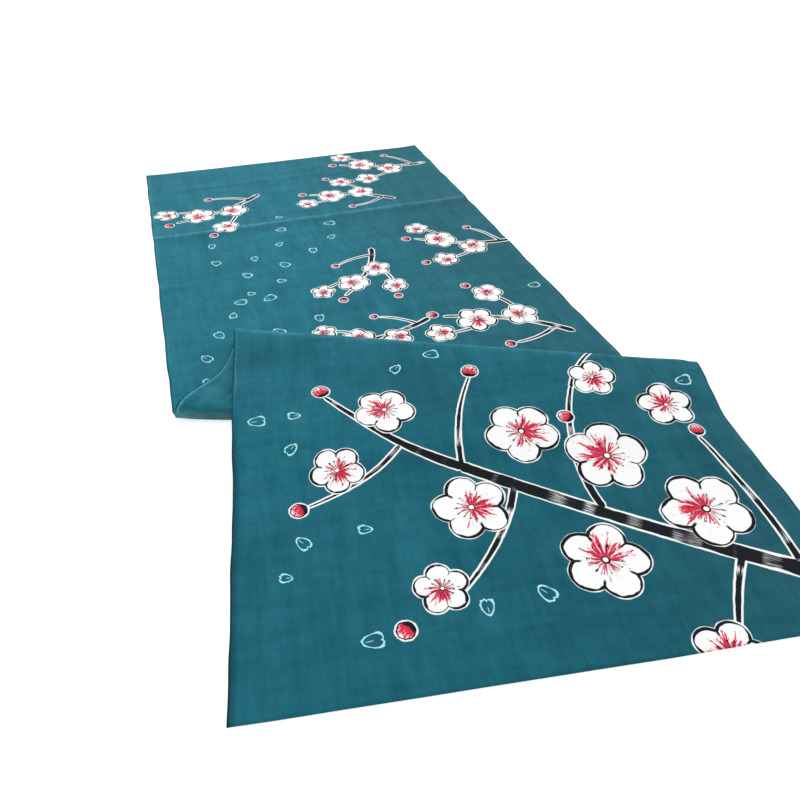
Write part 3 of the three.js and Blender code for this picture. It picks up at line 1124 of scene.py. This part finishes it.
# Red brushed outwards: noise drawn out along the radius, against a dryness that grows with it.
round_x, round_y = bloom.math("COSINE", angle), bloom.math("SINE", angle)
way = bloom.vector(round_x * 3.4, round_y * 3.4, out * 1.3 + radius * 1.7)
dryness = out * 0.42 + 0.36 + bloom.math("COSINE", angle + radius) * 0.07
red = (bloom.noise(way, 1.5, 4.0, 0.72) - dryness).fade(-0.015, 0.035)
red = red * out.fade(PISTIL * 0.8, PISTIL) * (rim + 0.9).inside(0.3)
there = radius.there()
white = (rim - HALO * 0.75).inside(SOFT_WHITE) * there
bloom.give(White=white, Ink=bloom.most(outline, dip, ray, tip, pistil) * there, Red=red * there)

# %% [markdown]
# ### Buds and fallen petals
#
# A bud is a disc of red, brushed thin at its tip, in an ink line, with a dark cup at its base.
# A fallen petal is only a fine pale line left by the paste: an egg shape, narrow at its base,
# with a notch at the tip and one short vein.

# %% Bud and petal groups
bud, given = new_group("Plum bud", {"Place": VECTOR}, PRINT_PARTS)
x, y, radius = bud.split(given["Place"])
wobble = bud.noise(bud.vector(x, y, radius), 2.3, 2.0)
rim = (bud.length(x, y) - (0.86 + wobble * 0.24)) * radius
line = (abs(rim + 0.3) - 0.36).inside(SOFT_EDGE)
body = rim.inside(SOFT_EDGE)
cup = (x + wobble * 0.5).fade(-0.25, -0.05, 1.0, 0.0) * body
brushed = bud.noise(bud.vector(x * 1.2, y * 5.0, radius), 1.6, 3.0, 0.7)
red = (brushed - x * 0.16).fade(0.36, 0.42) * body
there = radius.there()
white = (rim - HALO * 0.8).inside(SOFT_WHITE) * there
bud.give(White=white, Ink=bud.most(line, cup) * there, Red=red * there)

petal, given = new_group("Fallen petal", {"Place": VECTOR}, {"Line": FLOAT})
x, y, radius = petal.split(given["Place"])
wobble = petal.noise(petal.vector(x, y, radius), 2.0, 2.0)
out = petal.length(x, y * (1.42 - x * 0.42))
notch = abs(petal.math("ARCTAN2", y, x)).fade(0.0, 0.24, 0.22, 0.0)
shape = 0.95 + (wobble - 0.5) * 0.24 - notch
pen = wobble.fade(0.35, 0.65, 0.34, 0.72)
line = (abs((out - shape) * radius) - pen).inside(SOFT_EDGE)
vein = (abs(y + x * 0.1) * radius - 0.2).inside(SOFT_EDGE)
vein = vein * x.fade(-0.7, -0.6) * x.fade(-0.15, 0.1, 1.0, 0.0)
petal.give(Line=petal.most(line, vein) * radius.there())

# %% [markdown]
# ## The cloth's material
#
# Order is what makes the print read: ground, then all white rims, then all black strokes, then
# each layer of blossoms with its own white, red and ink, so that a blossom covers the bough
# behind it. The weave's shade goes on the dyed ground, under the print.

# %% Cloth material
BLACK = linear(22, 26, 30)
RED = linear(214, 48, 80)
BARE = linear(246, 247, 247)
PETAL_LINE = linear(182, 236, 244)
PETAL_LINE_SHARE = 0.92

# The back shows its slubs more than the face, by this share.
BACK_SLUBS = 0.5

# How far out each motif covers what lies under it, in its radii.
COVER = {"blossom": 1.08, "bud": 1.5, "petal": 1.4}

# How far the weave's bump stands up, and the plain finish of dry cotton.
BUMP = {"Strength": 0.35, "Distance": 0.12 * MM}
COTTON = {
    "Roughness": 0.93, "Specular IOR Level": 0.12, "Sheen Weight": 0.05, "Sheen Roughness": 0.45,
    "Sheen Tint": linear(190, 225, 235),
}


def new_material(name, finish):
    """A material, and its shader with the finish set on the shader's own sockets."""
    material = bpy.data.materials.new(name)
    material.use_nodes = True
    shader = material.node_tree.nodes["Principled BSDF"]
    for socket, value in finish.items():
        shader.inputs[socket].default_value = value
    return material, shader


cloth_material, shader = new_material("printed_cotton", COTTON)
sums = Sums(cloth_material.node_tree)


# %% The motif on top at each point
def use_group(group, **inputs):
    """The outputs of a node of a group, with its inputs fed by name."""
    return sums.node("ShaderNodeGroup", inputs, node_tree=group.tree).outputs()


def layer_places(motif):
    """The place inside each layer's motif, one value for each layer."""
    return [sums.attribute(f"{motif}_{i}") for i in range(len(motif_layers[motif]))]


def topmost(motif):
    """Place inside the highest layer whose motif covers this point."""
    chosen, *others = layer_places(motif)
    for place in others:
        x, y, size = sums.split(place)
        covers = sums.math("LESS_THAN", x * x + y * y, COVER[motif] ** 2) * size.there()
        chosen = sums.pick(covers, chosen, place)
    return chosen


def stroke_gap(place):
    """Distance past a stroke's edge: |off| - half the width."""
    off, _, half = sums.split(place)
    return abs(off) - half


def nearest_stroke():
    """Place inside the stroke whose edge is nearest."""
    chosen, *others = layer_places("stroke")
    nearest = stroke_gap(chosen)
    for place in others:
        gap = stroke_gap(place)
        chosen = sums.pick(sums.math("LESS_THAN", gap, nearest), chosen, place)
        nearest = sums.math("MINIMUM", gap, nearest)
    return chosen


# %% Put the material together
flat = sums.node("ShaderNodeUVMap", (), "UV", uv_map="Cloth")
from_cloth = {name: sums.attribute(f"dye_{name.lower()}", "Fac") for name in DYE_INPUTS}
dyed = use_group(dye, Flat=flat, **from_cloth)
woven = use_group(weave, Flat=flat)
blossom = use_group(bloom, Place=topmost("blossom"))
round_bud = use_group(bud, Place=topmost("bud"))
loose_petal = use_group(petal, Place=topmost("petal"))
stroke = use_group(brush, Place=nearest_stroke())
swing = woven["Shade"] * (1.0 + from_cloth["Back"] * BACK_SLUBS)
colour = sums.blend(1.0, dyed["Colour"], sums.tinted(swing), "MULTIPLY")
colour = sums.blend(loose_petal["Line"] * PETAL_LINE_SHARE, colour, PETAL_LINE)
for print_part in (stroke, round_bud, blossom):
    for part, part_colour in (("White", BARE), ("Red", RED), ("Ink", BLACK)):
        colour = sums.blend(print_part[part], colour, part_colour)
sums.feed(shader.inputs["Base Color"], colour)
bump = sums.node("ShaderNodeBump", BUMP | {"Height": woven["Height"]}, "Normal")
sums.feed(shader.inputs["Normal"], bump)
mesh.materials.append(cloth_material)
print("cloth material:", len(sums.tree.nodes), "nodes")

# %% [markdown]
# ## Painted light and shade over the cloth
#
# The ground's brightness changes over the cloth, and its broad steps are painted light and shade:
# the far panel is painted paler, the near panel darker, most of all on its right. A pressed ridge
# has a painted highlight along it and painted shade on its near side. The near bend is greyed and
# pale down its front, a painted reflection of the white table, between a painted shadow at its
# foot and a line of painted shade above, and the far loop has a painted highlight along its top.
# All of this changes slowly, so a number at each vertex holds it well.

# %% Slow changes
# Each map starts with one number, and each row adds by * S * S, with S a smooth step from 0 to 1
# across and along. A step whose first length is the greater one falls instead.
# ALL is a step that has come to 1 before the cloth starts, and LEFT is the cloth's left half.
ALL = (-2.0, -1.0)
LEFT = (190.0, 150.0)
DYE_MAPS = {
    # How bright the dyed ground is, a lower number darker. Its steps are painted light and shade:
    # brightest on the far panel's left, darker to its right and over the panels folded onto it.
    "depth": (1.13, [
        (-0.25, (120.0, 330.0), (640.0, 560.0)),
        (-0.16, ALL, (530.0, 600.0)),
        (-0.08, ALL, (650.0, 860.0)),
        (-0.18, (60.0, 260.0), (600.0, 760.0)),
    ]),
    # How grey the dye looks: most on the far panel's right, and a little on the near one's.
    "grey": (0.0, [(0.2, (140.0, 330.0), (700.0, 600.0)), (0.14, (200.0, 330.0), (600.0, 700.0))]),
    # How strong the painted highlight beside a selvage is: most where the cloth shows its back.
    "line": (0.04, [
        (0.9, ALL, (470.0, 480.0)), (-0.7, ALL, (575.0, 600.0)), (-0.2, ALL, (650.0, 690.0)),
    ]),
    # How much darker a band beside a selvage is, painted shade with some darker dye of the tight
    # weave: dark only down the near left.
    "band": (-0.21, [(0.07, LEFT, ALL), (0.56, LEFT, (670.0, 715.0))]),
    # How dark a selvage's rim is, painted shade on the unlit rim with some darker dye: most where
    # the near panel starts, not at all down its left.
    "rim": (0.5, [(0.45, LEFT, (570.0, 590.0)), (-0.95, LEFT, (655.0, 700.0))]),
}
# Patches where the ground is paler or darker: middle across and along, half sizes, how much paler.
DYE_CLOUDS = named_rows("across along wide long by", [
    (44.0, 722.0, 44.0, 24.0, 0.10),
    (264.0, 765.0, 70.0, 26.0, 0.12),
    (344.0, 705.0, 22.0, 34.0, 0.20),
    (119.0, 672.0, 34.0, 40.0, -0.19),
    (302.0, 668.0, 30.0, 14.0, -0.26),
    (48.0, 655.0, 40.0, 14.0, 0.05),
    (28.0, 627.0, 36.0, 18.0, -0.16),
    (245.0, 170.0, 40.0, 14.0, 0.09),
    (152.0, 372.0, 34.0, 30.0, -0.10),
    (10.0, 548.0, 26.0, 18.0, 0.08),
    (16.0, 513.0, 20.0, 11.0, -0.12),
    (14.0, 496.0, 16.0, 6.0, 0.08),
    (12.0, 486.0, 20.0, 6.0, -0.04),
    (150.0, 692.0, 24.0, 20.0, -0.12),
    (322.0, 662.0, 24.0, 14.0, -0.16),
])
maps = {}
for name, (start, steps) in DYE_MAPS.items():
    maps[name] = np.full_like(flat_across, start)
    for by, over_across, over_along in steps:
        shown = smooth_step(flat_across, *over_across) * smooth_step(flat_along, *over_along)
        maps[name] += by * shown
for cloud in DYE_CLOUDS:
    shown = bell(flat_across - cloud["across"], cloud["wide"])
    maps["depth"] += cloud["by"] * shown * bell(flat_along - cloud["along"], cloud["long"])

# %% Painted light and shade at the folds
# The near bend, in mm past its crease: a greyed pale strip, the painted reflection of the white
# table, which reaches less far after the free corner and is painted paler at that corner, a line
# of painted shade just above it and a painted shadow at its foot, its lower edge.
BEND_REFLECTION = {"from": (5.0, 9.0), "to": 17.4, "to_after": 14.0, "fade": 1.0, "pale": 0.86}
BEND_CORNER = {"worn": 0.66, "half": 14.0}
BEND_SHADE = {"after": 2.6, "half": 2.8, "painted_shade": 0.36, "at_corner": 0.42}
BEND_FOOT_SHADOW = {"past": 7.4, "half": 3.0, "painted_shade": 0.24}
# The far loop, in mm past its crease: a painted highlight along its crest, less towards the
# right, and a top painted paler where it faces the window.
LOOP_HIGHLIGHT = {"centre": 20.6, "half": 3.4, "pale": 0.36, "less": 0.2, "over": (80.0, 300.0)}
LOOP_LIT_TOP = {"from": 16.0, "fade": 18.0, "by": 0.13}

beside, past_near = crease_place(near_crease, np.stack([flat_across, flat_along], axis=-1))
past_far = past_far_crease(flat_across, flat_along)
after_corner = smooth_step(beside, 0.0, CORNER_TO)
strip_end = BEND_REFLECTION["to"] + (BEND_REFLECTION["to_after"] - BEND_REFLECTION["to"]) * after_corner
strip_fades = (strip_end - BEND_REFLECTION["fade"], strip_end + BEND_REFLECTION["fade"])
# The greyed pale strip down the bend's front: a painted reflection of the white table.
strip = BEND_REFLECTION["pale"] * shown_between(past_near, *BEND_REFLECTION["from"], *strip_fades)
# Painted shade in a line above the strip, weaker at the bend's free corner.
painted_shade = BEND_SHADE["painted_shade"] * (BEND_SHADE["at_corner"] + (1.0 - BEND_SHADE["at_corner"]) * after_corner)
# The loop: its top painted paler and a painted highlight along its crest.
past_loop = past_far - LOOP_LIT_TOP["from"]
painted_lit_top = LOOP_LIT_TOP["by"] * (past_loop > 0.0) * np.exp(-np.abs(past_loop) / LOOP_LIT_TOP["fade"])
worn = LOOP_HIGHLIGHT["pale"] - LOOP_HIGHLIGHT["less"] * smooth_step(flat_across, *LOOP_HIGHLIGHT["over"])
worn = worn * bell(past_far - LOOP_HIGHLIGHT["centre"], LOOP_HIGHLIGHT["half"])

# Map of painted light: the loop's highlight and more painted reflection at the bend's free corner.
maps["worn"] = worn + BEND_CORNER["worn"] * strip * bell(beside, BEND_CORNER["half"])
# The grey map takes the painted reflection down the bend's front.
maps["grey"] = np.maximum(strip, maps["grey"])
# Painted shade in a line above the bend's pale strip, and a painted shadow at its foot.
maps["depth"] -= painted_shade * bell(past_near - strip_end - BEND_SHADE["after"], BEND_SHADE["half"])
maps["depth"] -= BEND_FOOT_SHADOW["painted_shade"] * bell(past_near - BEND_FOOT_SHADOW["past"], BEND_FOOT_SHADOW["half"])
# Painted light on the top of the loop.
maps["depth"] += painted_lit_top
# Each pressed ridge: painted shade on its near side and a painted highlight along its line.
for crease in PRESSED_CREASES:
    past, shown = crease_distance(crease, flat_across, flat_along)
    dark_middle, dark_half = (CREASE_SHADE[key] * crease["near"] for key in ("centre", "half"))
    maps["depth"] -= shown * crease["dark"] * bell(past - dark_middle, dark_half)
    maps["worn"] += shown * crease["pale"] * bell(past, CREASE_HIGHLIGHT * crease["near"])
for name, values in maps.items():
    set_attribute(f"dye_{name}", values.ravel())
    print("dye", name, "from", round(float(values.min()), 2), "to", round(float(values.max()), 2))

# %% Say what the sheet is
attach(cloth, "root")
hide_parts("cloth")

# %% [markdown]
# ## Table, light and camera
#
# The cloth was photographed on a white table in even daylight, with a window on the far left. A
# bright world gives the even part and one large soft light gives the window, so folds shade
# gently and the table stays white.

# %% Table
TABLE_SIZE = 12.0
WHITE = (1.0, 1.0, 1.0, 1.0)
PAINTED = {
    "Base Color": (0.5, 0.5, 0.5, 1.0), "Emission Color": WHITE, "Emission Strength": 0.7,
    "Roughness": 0.9, "Specular IOR Level": 0.1,
}
bpy.ops.mesh.primitive_plane_add(size=TABLE_SIZE, location=(0.0, 0.0, cloth_box[0][2]))
table = bpy.context.active_object
table.name = "table"
table_material, _ = new_material("white_table", PAINTED)
table.data.materials.append(table_material)

# %% Light
WORLD_STRENGTH = 0.93
WINDOW_POWER = 16.0
WINDOW_SIZE = (1.6, 1.1)
WINDOW_PLACE = (-0.9, 1.35, 1.0)
world = bpy.data.worlds.new("daylight")
bpy.context.scene.world = world
world.use_nodes = True
world.node_tree.nodes["Background"].inputs["Color"].default_value = WHITE
world.node_tree.nodes["Background"].inputs["Strength"].default_value = WORLD_STRENGTH


def aim(thing, target):
    """Turn an object so that its -Z looks at the target."""
    way = np.array(target) - np.array(thing.location)
    flat_way = math.hypot(way[0], way[1])
    thing.rotation_euler = (math.atan2(flat_way, -way[2]), 0.0, math.atan2(-way[0], way[1]))


window_data = bpy.data.lights.new("window", "AREA")
window_data.shape = "RECTANGLE"
window_data.size, window_data.size_y = WINDOW_SIZE
window_data.energy = WINDOW_POWER
window = new_object("window", window_data)
window.location = WINDOW_PLACE
aim(window, (0.0, 0.0, 0.0))

# %% [markdown]
# The camera was worked out from the cloth itself: its two selvages are parallel on the cloth, so
# their slants in the picture give the tilt, and the cloth's width gives the height.

# %% Camera
CAMERA_HEIGHT = 318.3
CAMERA_FROM_CORNER = (161.8, -375.2)
CAMERA_TILT = 39.2
FOCAL_PIXELS = 696.5
PICTURE_PIXELS = 800.0
camera_data = bpy.data.cameras.new("camera")
camera_data.sensor_width = 36.0
camera_data.lens = camera_data.sensor_width * FOCAL_PIXELS / PICTURE_PIXELS
camera_data.clip_start = 0.01
camera_data.clip_end = 50.0
camera = new_object("camera", camera_data)
camera.location = (
    near_left_corner[0] + CAMERA_FROM_CORNER[0] * MM,
    near_left_corner[1] + CAMERA_FROM_CORNER[1] * MM,
    cloth_box[0][2] + CAMERA_HEIGHT * MM,
)
camera.rotation_euler = (math.radians(90.0 - CAMERA_TILT), 0.0, 0.0)
bpy.context.scene.camera = camera
bpy.context.scene.view_settings.view_transform = "Standard"
print("camera at", [round(v, 3) for v in camera.location], "lens", round(camera_data.lens, 2), "mm")
